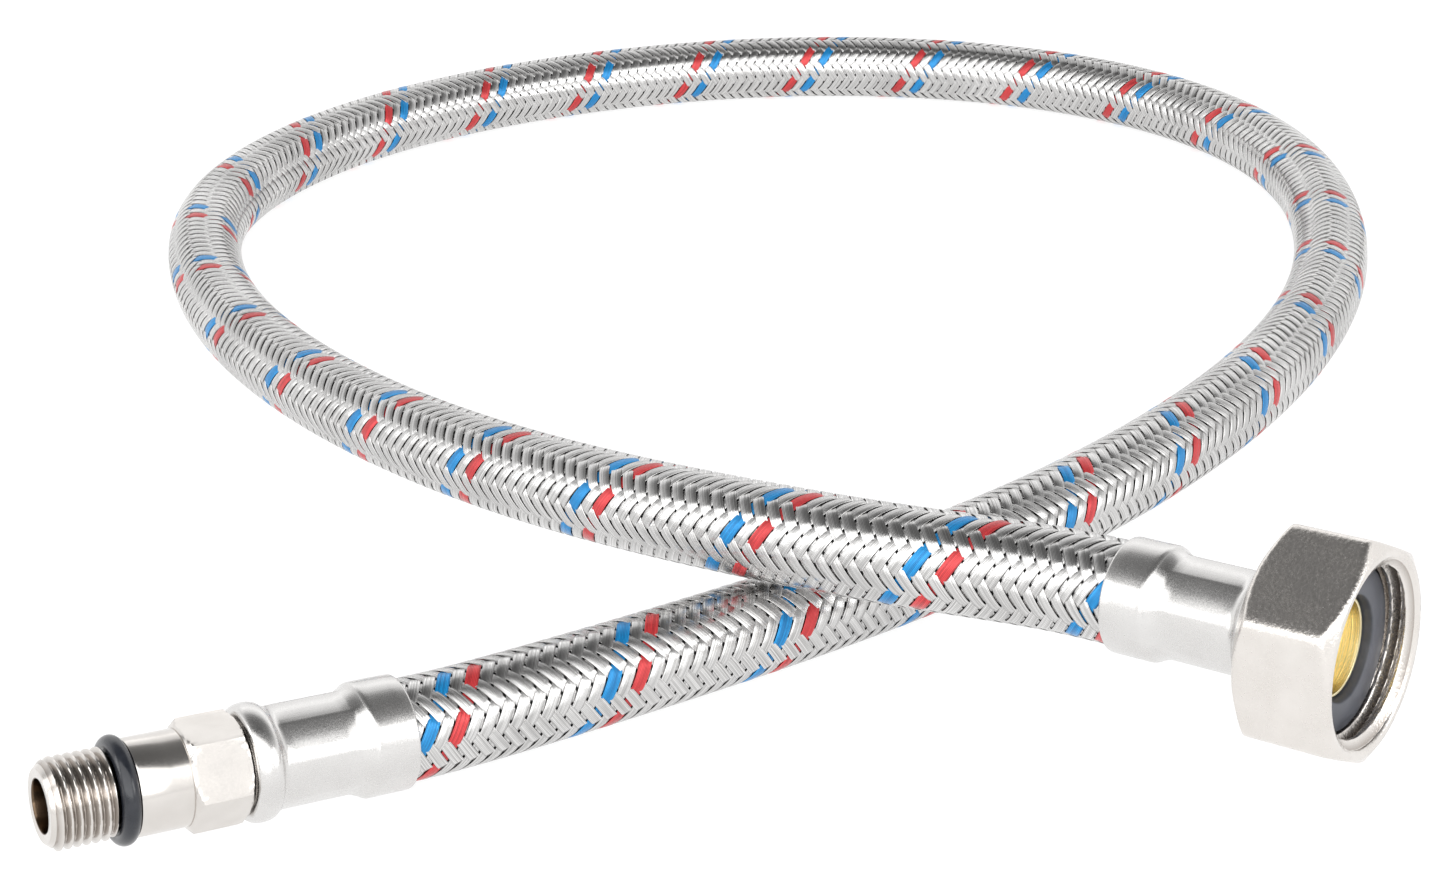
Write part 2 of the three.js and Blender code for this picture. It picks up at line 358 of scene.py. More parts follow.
@dataclass(frozen=True)
class PlatedMetal:
    """Metal with fine grain, faint stains and lathe marks round the piece's own axis, and painted shade
    in its bore and thread grooves.
    """

    name: str
    colour: Colour
    shade: Colour
    roughness: float
    grain: float = 0.0
    turning: float = 0.0
    streaks: float = 0.0
    grain_size: float = 5200.0
    bore: float = 0.0
    grooves: Grooves = Grooves()

    def material(self, fitting: Fitting) -> bpy.types.Material:
        """Build the material for a piece on a fitting.

        Args:
            fitting: the fitting whose axis the lathe marks go round.

        Returns:
            The material.
        """
        s = Shader(self.name)
        where = s.add("TexCoord").outputs["Object"]
        x, y, depth = self._own_place(s, where, fitting)
        out = s.add("VectorMath", i0=s.add("CombineXYZ", X=x, Y=y).outputs[0])
        out.operation = "LENGTH"
        radius = out.outputs["Value"]
        lathe = s.noise(s.add("CombineXYZ", X=radius, Z=depth).outputs[0], LATHE_FINENESS, 2.0)
        slow = s.math("MULTIPLY", depth, 1 / LINE_STRETCH)
        lines = s.noise(s.add("CombineXYZ", X=x, Y=y, Z=slow).outputs[0], LINE_FINENESS, 3.0)
        specks = s.noise(where, self.grain_size, 4.0)
        cloud = s.noise(where, CLOUD_FINENESS, 3.0)
        tint = s.blend(s.ramp(cloud, 0.0, 0.5), self.colour, self.shade)
        # Painted shade in the bore and in the thread's grooves, darkest at the thread's root.
        tint = s.blend(self._painted_hollow_shade(s, radius, depth), tint, HOLLOW_SHADE)
        polish = s.ramp(specks, self.roughness * 0.8, self.roughness * 1.2)
        rough = s.math("ADD", polish, s.ramp(cloud, 0.0, 0.05))
        normal = s.bump(specks, GRAIN_HEIGHT * self.grain)
        normal = s.bump(lathe, GRAIN_HEIGHT * self.turning, 1.0, normal)
        normal = s.bump(lines, LINE_HEIGHT * self.streaks, 1.0, normal)
        return s.finish(Base_Color=tint, Metallic=1.0, Roughness=rough, Normal=normal)

    def _own_place(self, s: Shader, where: object, fitting: Fitting) -> bpy.types.NodeOutputs:
        """Turn the row frame's coordinates into the fitting's own, still in metres.

        Args:
            s: the material being built.
            where: coordinates in the row frame.
            fitting: the fitting that the piece is on.

        Returns:
            The X, Y and Z sockets, with Z along the fitting's axis.
        """
        own = s.add("Mapping", Vector=where)
        own.vector_type = "POINT"
        back = fitting.matrix().to_3x3().normalized().to_4x4().transposed()
        own.inputs["Rotation"].default_value = back.to_euler()
        own.inputs["Location"].default_value = -(back @ (Vector(fitting.mouth) * MM))
        return s.add("SeparateXYZ", Vector=own.outputs[0]).outputs

    def _painted_hollow_shade(self, s: Shader, radius: object, depth: object) -> bpy.types.NodeSocket:
        """Return how much painted shade darkens the bore and the thread's grooves.

        Args:
            s: the material being built.
            radius: distance from the fitting's axis, in metres.
            depth: distance along it, in metres.

        Returns:
            A share from 0 to 1.
        """
        root, crest = self.grooves.root * MM, self.grooves.crest * MM
        # Painted shade: full strength at the thread's root, none at its crest.
        thread_shade = s.add(
            "MapRange", Value=radius, From_Min=root, From_Max=crest,
            To_Min=self.grooves.root_shade, To_Max=0.0,
        )
        past_start = s.math("GREATER_THAN", depth, self.grooves.start * MM)
        before_end = s.math("LESS_THAN", depth, self.grooves.end * MM)
        near = s.math("LESS_THAN", radius, max(root, crest) + self.grooves.margin * MM)
        within = s.math("MULTIPLY", s.math("MULTIPLY", past_start, before_end), near)
        share = s.math("MULTIPLY", thread_shade.outputs["Result"], within)
        # Inside the bore radius the painted shade is full.
        return s.math("MAXIMUM", share, s.math("LESS_THAN", radius, self.bore * MM))


@dataclass(frozen=True)
class MouldedRubber:
    """Rubber with faint mottling."""

    name: str
    colour: Colour
    shade: Colour
    roughness: float
    grain: float = 1.0

    def material(self) -> bpy.types.Material:
        """Build the material."""
        s = Shader(self.name)
        where = s.add("TexCoord").outputs["Object"]
        cloud = s.noise(where, 700.0, 4.0)
        specks = s.noise(where, 6000.0, 3.0)
        tint = s.blend(s.ramp(cloud, 0.0, 1.0), self.colour, self.shade)
        rough = s.ramp(cloud, self.roughness * 0.85, self.roughness * 1.15)
        normal = s.bump(specks, 0.00001 * self.grain)
        return s.finish(Base_Color=tint, Roughness=rough, Normal=normal)


class StrandColour(Enum):
    """Finish of a strand's wires."""

    STEEL = DrawnWire("steel_wire", grey(0.77, 0.007), grey(0.2, 0.004), 1.0, 0.17)
    BLUE = DrawnWire("blue_wire", (0.014, 0.3, 0.68, 1.0), (0.002, 0.035, 0.13, 1.0), 0.35, 0.24)
    RED = DrawnWire("red_wire", (0.72, 0.06, 0.065, 1.0), (0.09, 0.002, 0.004, 1.0), 0.35, 0.24)


FERRULE_STEEL = PlatedMetal("ferrule_steel", grey(0.66, 0.01), grey(0.57, 0.012), 0.23, streaks=0.22)
# The bore and grooves given here say where painted shade darkens the plating.
NICKEL = PlatedMetal(
    "nickel_plate", grey(0.63, 0.028), grey(0.54, 0.03), 0.17, turning=0.1, bore=3.05,
    grooves=Grooves(root=4.45, crest=4.95, start=33.2, end=40.3),
)
CAST_NICKEL = PlatedMetal(
    "cast_nickel_plate", grey(0.7, 0.032), grey(0.58, 0.034), 0.22, grain=2.6, grain_size=2600.0,
    grooves=Grooves(root=10.2, crest=9.5, start=26.2, end=29.1),
)
BRASS = PlatedMetal("turned_brass", (0.98, 0.89, 0.6, 1.0), (0.9, 0.74, 0.38, 1.0), 0.2, turning=2.0)
RING_RUBBER = MouldedRubber("ring_rubber", (0.01, 0.012, 0.017, 1.0), (0.02, 0.022, 0.028, 1.0), 0.2)
WASHER_RUBBER = MouldedRubber(
    "washer_rubber", (0.05, 0.054, 0.066, 1.0), (0.075, 0.079, 0.094, 1.0), 0.42,
)
HOSE_RUBBER = MouldedRubber("hose_rubber", grey(0.012), grey(0.02), 0.5)


# ---------------------------------------------------------------- modelling


NEAR = 0.01
THREAD_STEEPNESS = 1.45
THREAD_SINK = 0.18
STEM_RADIUS = 3.1
STEM_START = 4.0
BARB_RADIUS = 3.4
BARBS = 3
FIRST_BARB = 6.8
BARB_PITCH = 3.2
BARB_STEP = 0.4


def deselect_all() -> None:
    """Leave nothing selected."""
    bpy.ops.object.select_all(action="DESELECT")


def turned(name: str, outline: Outline, segments: int) -> bpy.types.Object:
    """Model a turned piece by extruding a circle from ring to ring and back to the first.

    Args:
        name: the piece's name.
        outline: (radius, height) of each ring, in the fitting's own millimetres.
        segments: how many sides a ring has.

    Returns:
        The piece, upright about Z in millimetres.
    """
    deselect_all()
    bpy.ops.mesh.primitive_circle_add(vertices=segments, radius=outline[0][0])
    piece = bpy.context.object
    piece.name = piece.data.name = name
    bpy.ops.object.mode_set(mode="EDIT")
    bpy.ops.mesh.select_all(action="SELECT")
    bpy.ops.transform.translate(value=(0.0, 0.0, outline[0][1]))
    for (radius, height), (next_radius, next_height) in pairwise(outline):
        rise = {"value": (0.0, 0.0, next_height - height)}
        bpy.ops.mesh.extrude_region_move(TRANSFORM_OT_translate=rise)
        scale = next_radius / radius
        bpy.ops.transform.resize(value=(scale, scale, 1.0), center_override=(0.0, 0.0, next_height))
    bpy.ops.mesh.select_all(action="DESELECT")
    bpy.ops.mesh.select_non_manifold()
    bpy.ops.mesh.bridge_edge_loops()
    bpy.ops.mesh.select_all(action="SELECT")
    bpy.ops.mesh.normals_make_consistent(inside=False)
    bpy.ops.object.mode_set(mode="OBJECT")
    return piece


def reshape(piece: bpy.types.Object, rule: Callable[[float, float, float], float]) -> None:
    """Give each point a new distance from the axis.

    Args:
        piece: a turned piece, upright about Z.
        rule: takes angle, radius and height, and returns the new radius.
    """
    for vertex in piece.data.vertices:
        x, y, z = vertex.co
        radius = math.hypot(x, y)
        scale = rule(math.atan2(y, x), radius, z) / radius
        vertex.co = (x * scale, y * scale, z)


def place(piece: bpy.types.Object, fitting: Fitting, sharp: float = 35.0) -> None:
    """Move a piece from its fitting's frame into the row frame and smooth it.

    Args:
        piece: a piece modelled upright about Z in millimetres.
        fitting: where it belongs.
        sharp: edges that turn by more than this many degrees stay sharp.
    """
    piece.data.transform(fitting.matrix())
    deselect_all()
    piece.select_set(True)
    bpy.context.view_layer.objects.active = piece
    bpy.ops.object.shade_smooth_by_angle(angle=math.radians(sharp))


def dress(
    piece: bpy.types.Object, material: bpy.types.Material, slot: str, body: str, *nodes: str
) -> None:
    """Finish a piece and say what it is.

    Args:
        piece: the piece.
        material: its one material.
        slot: the record's material slot; not used.
        body: the body that it rides on.
        nodes: the CAD nodes that it stands for.
    """
    piece.data.materials.clear()
    piece.data.materials.append(material)
    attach(piece, body)
    if nodes:
        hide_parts(*nodes)
    LOG.info("%s: %d faces on %s", piece.name, len(piece.data.polygons), body)


def arc(centre: tuple[float, float], radius: float, start: float, end: float, steps: int) -> Outline:
    """Return points of an outline on an arc.

    Args:
        centre: radius and height of the arc's centre.
        radius: the arc's own radius.
        start: first angle, in degrees from the outward direction.
        end: last angle.
        steps: how many straight pieces stand for the arc.

    Returns:
        The points, both ends included.
    """
    points = []
    for k in range(steps + 1):
        angle = math.radians(start + (end - start) * k / steps)
        points.append((centre[0] + radius * math.cos(angle), centre[1] + radius * math.sin(angle)))
    return points


def fade(value: float, start: float, end: float) -> float:
    """Return 0 up to one value and 1 from another on, in a straight line between them."""
    return min(1.0, max(0.0, (value - start) / (end - start)))


def soft_least(first: float, second: float, softness: float) -> float:
    """Return the smaller of two numbers with a rounded change from one to the other.

    Args:
        first: one number.
        second: the other.
        softness: how wide the rounding is, in the numbers' own unit.

    Returns:
        A number a little under the smaller one where the two are close.
    """
    low = min(first, second)
    spread = math.exp(-(first - low) / softness) + math.exp(-(second - low) / softness)
    return low - softness * math.log(spread)


def helix_wave(angle: float, height: float, pitch: float) -> float:
    """Return 0 at a right-handed thread's root and 1 at its crest, both a little flat.

    Args:
        angle: direction from the axis, in radians.
        height: height on the axis.
        pitch: the thread's pitch, in the same unit.

    Returns:
        A share from 0 to 1.
    """
    phase = (height / pitch - angle / (2 * math.pi)) % 1.0
    flank = 1 - abs(2 * phase - 1)
    return min(1.0, max(0.0, THREAD_STEEPNESS * flank - THREAD_SINK))


def barbed_stem() -> Outline:
    """Return the outline of a stem inside the hose, from its end to its last barb."""
    points = [(STEM_RADIUS, STEM_START)]
    for k in range(BARBS):
        height = FIRST_BARB + k * BARB_PITCH
        points += [(BARB_RADIUS, height), (STEM_RADIUS, height + BARB_STEP)]
    return points


@dataclass(frozen=True)
class EndCone:
    """Cone over one end of a hexagon: its radius at that end and how fast it widens from it."""

    height: float
    radius: float
    widening: float
    softness: float

    def limit(self, height: float) -> float:
        """Return the cone's radius at a height."""
        return self.radius + abs(height - self.height) * self.widening


@dataclass(frozen=True)
class Hexagon:
    """Hexagon with worn corners and a cone over each end. Millimetres; turn in degrees."""

    flats: float
    turn: float
    sharpness: float
    back: EndCone
    front: EndCone

    def radius(self, angle: float, height: float) -> float:
        """Return the distance from the axis to the surface.

        Args:
            angle: direction from the axis, in radians.
            height: height on the axis, between the two ends.

        Returns:
            The distance in millimetres.
        """
        total = 0.0
        for k in range(6):
            facing = math.cos(angle - math.radians(self.turn + 60 * k))
            total += max(facing, 0.0) ** self.sharpness
        side = self.flats / 2 / total ** (1 / self.sharpness)
        side = soft_least(side, self.front.limit(height), self.front.softness)
        return soft_least(side, self.back.limit(height), self.back.softness)


# ---------------------------------------------------------------- hose


class Hand(IntEnum):
    """Which way a strand winds round the hose."""

    LEFT = -1
    RIGHT = 1


@dataclass
class BraidedHose:
    """Rubber hose inside twenty-four flat strands woven two over and two under. Metres."""

    route: HoseRoute
    radius: float = 0.006
    core_radius: float = 0.00548
    inside: float = 0.0102
    carriers: int = 12
    lead: float = 0.0233
    blue_angle: float = -0.633
    float_phase: float = 0.25
    width: float = 0.00138
    tracer_share: float = 1.15
    thickness: float = 0.00013
    depth: float = 0.00011
    crown: float = 0.00003
    plateau: float = 2.4
    narrowing: float = 0.02
    steps_per_lead: int = 84
    core_sides: int = 24
    core_step: float = 0.0015
    colours: dict[int, StrandColour] = field(
        default_factory=lambda: {0: StrandColour.BLUE, 2: StrandColour.RED}
    )

    def build(self) -> None:
        """Build the rubber core and every strand, and dress them."""
        finishes = {colour: colour.value.material() for colour in StrandColour}
        along = np.linspace(0.0, self.route.length, int(self.route.length / self.core_step) + 1)
        core = self._core(along)
        dress(core, HOSE_RUBBER.material(), "hose_rubber", "hose", "inner_hose")
        on_axis = np.zeros_like(along)
        path = self.route.surface(along, on_axis, on_axis)
        for hand in Hand:
            for index in range(self.carriers):
                strand = self._strand(hand, index)
                finish = finishes[self._colour(hand, index)]
                dress(strand, finish, "braid_wire", "hose", "wire_braid")

    def _colour(self, hand: Hand, index: int) -> StrandColour:
        """Return a strand's colour: plain steel but for the two tracers."""
        return self.colours.get(index, StrandColour.STEEL) if hand is Hand.LEFT else StrandColour.STEEL

    def _core(self, along: np.ndarray) -> bpy.types.Object:
        """Build the rubber hose as a closed tube.

        Args:
            along: the lengths at which it has a ring of points, in metres.

        Returns:
            The tube.
        """
        rings, sides = len(along), self.core_sides
        angle = np.tile(np.arange(sides) * 2 * math.pi / sides, rings)
        radius = np.full(rings * sides, self.core_radius)
        points = self.route.surface(np.repeat(along, sides), angle, radius)
        return self._tube("rubber_core", points, rings, sides)

    def _tube(self, name: str, points: np.ndarray, rings: int, sides: int) -> bpy.types.Object:
        """Join rings of points into a closed mesh with capped ends.

        Args:
            name: the piece's name.
            points: every ring's points in turn.
            rings: how many rings.
            sides: how many points each ring has.

        Returns:
            The new object.
        """
        ring = np.arange(rings - 1)[:, None] * sides
        near = ring + np.arange(sides)[None, :]
        ahead = ring + (np.arange(sides)[None, :] + 1) % sides
        quads = np.stack([near, ahead, ahead + sides, near + sides], axis=-1).reshape(-1, 4)
        first_cap = list(range(sides))[::-1]
        last_cap = [(rings - 1) * sides + k for k in range(sides)]
        faces = [*quads.tolist(), first_cap, last_cap]
        mesh = bpy.data.meshes.new(name)
        mesh.from_pydata(points.tolist(), [], faces)
        piece = bpy.data.objects.new(name, mesh)
        bpy.context.collection.objects.link(piece)
        mesh.shade_smooth()
        return piece

    def _offset(self, hand: Hand) -> float:
        """Return how far the strands of that hand start past the first, in strands."""
        return 0.5 - 4 * self.float_phase if hand is Hand.RIGHT else 0.0

    def _weave(self, hand: Hand, index: int, along: np.ndarray) -> np.ndarray:
        """Return how far a strand stands above or below the middle of the weave.

        Args:
            hand: which way it winds.
            index: which of the strands with that hand.
            along: lengths on the centreline, in metres.

        Returns:
            Heights in metres; left-hand and right-hand strands are never both up at a crossing.
        """
        turns = self.carriers / 2 * along / self.lead
        turns += hand * (self.float_phase + (index + self._offset(hand)) / 2)
        wave = np.tanh(self.plateau * np.cos(2 * math.pi * turns)) / math.tanh(self.plateau)
        return -hand * self.depth * wave

    def _strand(self, hand: Hand, index: int) -> bpy.types.Object:
        """Build one strand as a thin flat ribbon laid in a helix.

        Args:
            hand: which way it winds.
            index: which of the strands with that hand.

        Returns:
            The strand.
        """
        start, end = self.inside, self.route.length - self.inside
        rings = int((end - start) / self.lead * self.steps_per_lead) + 1
        along = np.linspace(start, end, rings)
        spacing = 2 * math.pi / self.carriers
        base = self.blue_angle + spacing * (index + self._offset(hand))
        angle = base + hand * 2 * math.pi * along / self.lead
        weave = self._weave(hand, index, along)
        top = self.radius - self.depth + weave
        slope = math.atan2(2 * math.pi * self.radius, self.lead)
        width = self.width * (1 - self.narrowing + self.narrowing * weave / self.depth)
        if self._colour(hand, index) is not StrandColour.STEEL:
            width = width * self.tracer_share
        crowned = [(-0.5, 1.0), (-0.46, 0.2), (0.0, 0.0), (0.46, 0.2), (0.5, 1.0)]
        section = [(across, fall * self.crown) for across, fall in crowned]
        section += [(0.44, self.thickness), (-0.44, self.thickness)]
        rows = []
        for across, drop in section:
            shift = across * width
            lengths = np.clip(along - hand * shift * math.sin(slope), start, end)
            angles = angle + shift * math.cos(slope) / self.radius
            rows.append(self.route.surface(lengths, angles, top - drop))
        sides = len(section)
        points = np.stack(rows, axis=1).reshape(-1, 3)
        piece = self._tube(f"strand_{hand.name.lower()}_{index + 1:02d}", points, rings, sides)
        self._map(piece, along, [0.5 + across for across, _ in section])
        return piece

    def _map(self, piece: bpy.types.Object, along: np.ndarray, across: list[float]) -> None:
        """Give a strand its UV map: across it from 0 to 1, and along it in metres.

        Args:
            piece: the strand.
            along: the length at each ring, in metres.
            across: the place across the strand of each point of a ring.
        """
        layer = piece.data.uv_layers.new(name="strand")
        corners = np.zeros(len(piece.data.loops), dtype=np.int64)
        piece.data.loops.foreach_get("vertex_index", corners)
        sides = len(across)
        uv = np.stack([np.array(across)[corners % sides], along[corners // sides]], axis=1)
        layer.data.foreach_set("uv", uv.astype(np.float32).ravel())


# ---------------------------------------------------------------- ferrules


@dataclass
class Ferrule:
    """Thin steel cup crimped over the hose, in its fitting's own millimetres."""

    name: str
    node: str
    fitting: Fitting
    band_radius: float = 6.65
    band_end: float = 5.4
    crimp_radius: float = 5.8
    bead_start: float = 15.6
    bead_radius: float = 6.7
    end: float = 18.85
    wall: float = 0.3
    flats: int = 8
    pressing: float = 0.5
    dent: float = 0.05
    segments: int = 144

    def build(self, body: str) -> None:
        """Model the ferrule with its rolled mouth, step, faceted waist and bead.

        Args:
            body: the body that it rides on.
        """
        piece = turned(self.name, self._outline(), self.segments)
        reshape(piece, self._crimped)
        place(piece, self.fitting, 50.0)
        dress(piece, FERRULE_STEEL.material(self.fitting), "ferrule_steel", body, self.node)

    def _outline(self) -> Outline:
        """Return the outline, from inside the mouth, over the outside, to the end's inner edge."""
        band, crimp, wall = self.band_radius, self.crimp_radius, self.wall
        outside = [
            (band - 0.12, 0.0), (band - 0.03, 0.08), (band, 0.25), (band, 1.5), (band, 3.0),
            (band, 4.4), *arc((band - 0.9, 4.75), 0.9, 5, 50, 6), *self._foot(),
            (crimp, 8.0), (crimp, 9.5), (crimp, 11.0), (crimp, 12.5), (crimp, 14.0), (crimp, 14.9),
            (crimp + 0.03, 15.25), (crimp + 0.14, 15.5), *self._bead(), (crimp - 0.35, self.end),
        ]
        inside = [
            (3.8, self.end), (3.8, self.end - wall), (crimp - wall, self.end - wall - 0.1),
            (crimp - wall, 7.0), (band - wall, self.band_end), (band - wall, 0.1),
        ]
        return [*outside, *inside]

    def _foot(self) -> Outline:
        """Return the hollow curve from the step down to the waist."""
        return [(self.crimp_radius + 0.3, 6.0), (self.crimp_radius + 0.1, 6.35), (self.crimp_radius, 6.8)]

    def _bead(self) -> Outline:
        """Return the outline of the rolled bead with the pinch beside it."""
        middle = (self.bead_start + self.end) / 2 + 0.1
        half = (self.end - self.bead_start) / 2 - 0.1
        points = []
        for k in range(1, 12):
            angle = math.pi * (1 - k / 12)
            rise = (self.bead_radius - self.crimp_radius) * math.sin(angle) ** 0.8
            points.append((self.crimp_radius + rise, middle + half * math.cos(angle)))
        return points

    def _crimped(self, angle: float, radius: float, height: float) -> float:
        """Press flats into the waist, and dent the step and the bead slightly.

        Args:
            angle: direction from the axis, in radians.
            radius: the point's radius before.
            height: the point's height.

        Returns:
            Its new radius.
        """
        waist = fade(height, 5.6, 6.8) * fade(height, self.bead_start, self.bead_start - 0.9)
        step = 2 * math.pi / self.flats
        off = (angle + step / 2) % step - step / 2
        pressed = radius * (math.cos(step / 2) ** 0.35) / max(math.cos(off), 0.9) ** 0.8
        dent = self.dent * math.sin(3 * angle + 1.1) * fade(height, 3.6, 4.8) * (1 - waist)
        share = 1.0 if radius > 6.0 else 0.3
        return radius + waist * (pressed - radius) * self.pressing + dent * share


# ---------------------------------------------------------------- threaded tail


@dataclass
class ThreadedTail:
    """Nickel-plated tail: barbed stem, hexagon, shank, ring groove and thread."""

    fitting: Fitting
    bore: float = 2.9
    hexagon: Hexagon = Hexagon(
        11.0, 0.0, 700.0, back=EndCone(19.15, 5.65, 1.8, 0.04), front=EndCone(25.65, 5.45, 1.5, 0.04),
    )
    shank_radius: float = 5.4
    shank_end: float = 31.5
    neck_radius: float = 3.95
    thread_start: float = 33.4
    crest: float = 5.0
    root: float = 4.42
    pitch: float = 1.0
    rings_per_turn: int = 14
    tip: float = 40.75
    tip_radius: float = 4.04
    tip_widening: float = 0.9
    run_out: float = 1.8
    ring_place: float = 32.5
    ring_radius: float = 5.0
    ring_thickness: float = 1.0
    ring_oval: float = 0.004
    segments: int = 144

    def build(self, body: str) -> None:
        """Model the tail and its ring.

        Args:
            body: the body that both ride on.
        """
        piece = turned("threaded_tail", self._outline(), self.segments)
        reshape(piece, self._shape)
        place(piece, self.fitting, 24.0)
        dress(piece, NICKEL.material(self.fitting), "nickel_plate", body, "male_tail")
        self._ring(body)

    def _outline(self) -> Outline:
        """Return the outline from the stem, over the outside, to the inner end of the bore."""
        back, front = self.hexagon.back.height, self.hexagon.front.height
        corner = self.hexagon.flats / math.sqrt(3) + 0.1
        hex_heights = [back + step for step in (0.0, 0.15, 0.35, 1.0, 3.0, 5.2)]
        hex_heights += [front - step for step in (0.6, 0.4, 0.2, 0.0)]
        hexagon_rings = [(corner, height) for height in hex_heights]
        count = int((self.tip - self.thread_start) / self.pitch * self.rings_per_turn)
        step = (self.tip - self.thread_start) / count
        thread = [(self.crest, self.thread_start + k * step) for k in range(1, count)]
        shank = self.shank_radius
        return [
            *barbed_stem(), (STEM_RADIUS, 18.9), (5.0, 18.95), (5.0, back), *hexagon_rings,
            (5.35, front), (5.35, front + 0.05), (shank, front + 0.15),
            (shank, 28.0), (shank, self.shank_end - 0.3), (shank - 0.08, self.shank_end - 0.08),
            (shank - 0.3, self.shank_end), (self.neck_radius + 0.1, self.shank_end),
            (self.neck_radius, self.shank_end + 0.15), (self.neck_radius, self.thread_start - 0.2),
            (self.neck_radius + 0.1, self.thread_start), *thread,
            (self.tip_radius - 0.02, self.tip), (self.bore + 0.25, self.tip),
            (self.bore + 0.06, self.tip - 0.08), (self.bore, self.tip - 0.3), (self.bore, 30.0),
            (self.bore, STEM_START),
        ]

    def _shape(self, angle: float, radius: float, height: float) -> float:
        """Cut the hexagon and the thread.

        Args:
            angle: direction from the axis, in radians.
            radius: the point's radius before.
            height: the point's height.

        Returns:
            Its new radius.
        """
        if radius > self.hexagon.flats / 2:
            return self.hexagon.radius(angle, height)
        if radius > self.root and height > self.thread_start + NEAR:
            wave = helix_wave(angle, height, self.pitch)
            cut = self.root + (self.crest - self.root) * wave
            lead = self.tip_radius + (self.tip - height) * self.tip_widening
            run_out = self.neck_radius + 0.1 + (height - self.thread_start) * self.run_out
            return min(cut, lead, run_out)
        return radius

    def _ring(self, body: str) -> None:
        """Model the O-ring, squeezed a little out of round by its groove.

        Args:
            body: the body that it rides on.
        """
        deselect_all()
        bpy.ops.mesh.primitive_torus_add(
            major_radius=self.ring_radius, minor_radius=self.ring_thickness,
            major_segments=self.segments, minor_segments=32,
        )
        piece = bpy.context.object
        piece.name = piece.data.name = "o_ring_seal"
        bpy.ops.object.mode_set(mode="EDIT")
        bpy.ops.mesh.select_all(action="SELECT")
        bpy.ops.transform.resize(value=(1.0, 1.0, 1.02), center_override=(0.0, 0.0, 0.0))
        bpy.ops.transform.translate(value=(0.0, 0.0, self.ring_place))
        bpy.ops.object.mode_set(mode="OBJECT")
        reshape(piece, lambda angle, radius, _: radius * (1 + self.ring_oval * math.sin(2 * angle + 0.6)))
        place(piece, self.fitting, 60.0)
        dress(piece, RING_RUBBER.material(), "ring_rubber", body, "o_ring")


# ---------------------------------------------------------------- swivel union


